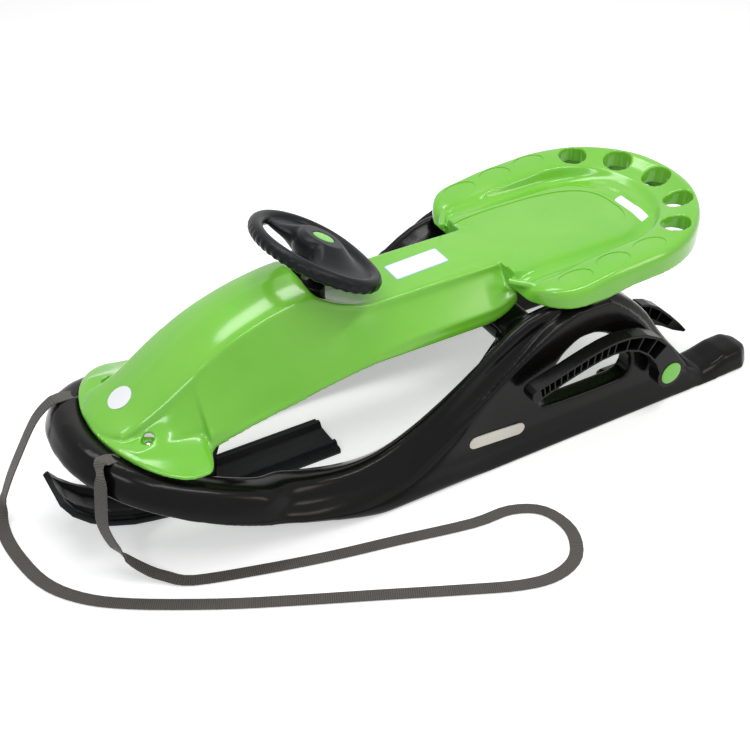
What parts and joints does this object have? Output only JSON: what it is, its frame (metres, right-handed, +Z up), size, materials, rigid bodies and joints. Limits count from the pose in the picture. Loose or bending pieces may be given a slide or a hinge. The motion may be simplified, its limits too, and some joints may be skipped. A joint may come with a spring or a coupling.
{
  "type": "steerable snow sled",
  "caption": "Child's snow sled with moulded runner frame, hooded seat body, steering wheel turning a front ski, side brake levers with claws, and a tow strap",
  "frame": {"origin": "on the ground, at the middle of the sled's bounding box without the strap", "axes": "+Z up, the nose points along -X, the rider's left is -Y"},
  "size_m": [1.2681, 0.6743, 0.4114],
  "materials": {
    "black_plastic": "satin moulded black plastic",
    "green_plastic": "glossy moulded green plastic",
    "white_plastic": "smooth white plastic",
    "beige_plastic": "smooth pale beige plastic",
    "steel": "zinc plated steel",
    "webbing": "flat woven webbing"
  },
  "bodies": {
    "sled": {"runner_frame": "black_plastic", "seat_body": "green_plastic", "dash_collar": "black_plastic", "axle_bush_left": "white_plastic", "axle_bush_right": "white_plastic", "nose_screw_left": "steel", "nose_screw_right": "steel", "nose_badge": "white_plastic", "name_plate_left": "beige_plastic", "name_plate_right": "beige_plastic", "strap_anchor_left": "black_plastic", "strap_anchor_right": "black_plastic", "tow_strap": "webbing"},
    "steering": {"steering_wheel": "black_plastic", "wheel_cap": "green_plastic", "wheel_nut": "steel", "steering_shaft": "steel", "ski_leg": "black_plastic", "front_ski": "black_plastic"},
    "brake_left": {"brake_lever_left": "black_plastic", "brake_claw_left": "black_plastic", "brake_axle_left": "steel", "brake_cap_left": "green_plastic"},
    "brake_right": {"brake_lever_right": "black_plastic", "brake_claw_right": "black_plastic", "brake_axle_right": "steel", "brake_cap_right": "green_plastic"}
  },
  "joints": [
    {"name": "steering_turn", "type": "hinge", "parent": "sled", "child": "steering", "pos_m": [-0.149, 0, 0.356], "axis": [0.4648, 0, 0.8854], "range_deg": [-15, 15]},
    {"name": "brake_left_turn", "type": "hinge", "parent": "sled", "child": "brake_left", "pos_m": [0.368, -0.2055, 0.0865], "axis": [0, 1, 0], "range_deg": [0, 50]},
    {"name": "brake_right_turn", "type": "hinge", "parent": "sled", "child": "brake_right", "pos_m": [0.368, 0.2055, 0.0865], "axis": [0, 1, 0], "range_deg": [0, 50]}
  ]
}
